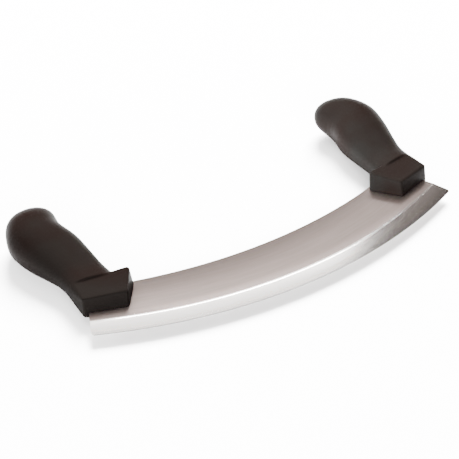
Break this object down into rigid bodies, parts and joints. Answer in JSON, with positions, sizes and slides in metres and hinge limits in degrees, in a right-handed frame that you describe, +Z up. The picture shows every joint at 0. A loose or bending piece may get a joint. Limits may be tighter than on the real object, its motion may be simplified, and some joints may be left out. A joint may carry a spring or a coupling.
{
  "type": "mezzaluna",
  "caption": "Single-blade mezzaluna: a curved, ground chopping blade between upright moulded handles with an angular foot and a rounded knob.",
  "frame": {"origin": "bottom centre of the bounding box, with the mezzaluna lying on its side", "axes": "+X along the blade to the right-hand end, +Y from the cutting edge to the knobs, +Z up"},
  "size_m": [0.241, 0.126, 0.0238],
  "materials": {
    "blade_steel": "satin, finely brushed along the blade, with a brighter ground edge",
    "handle_plastic": "near-black brown moulded plastic, satin gloss"
  },
  "bodies": {
    "root": {"blade": "blade_steel", "handle_right": "handle_plastic", "handle_left": "handle_plastic"}
  },
  "joints": []
}
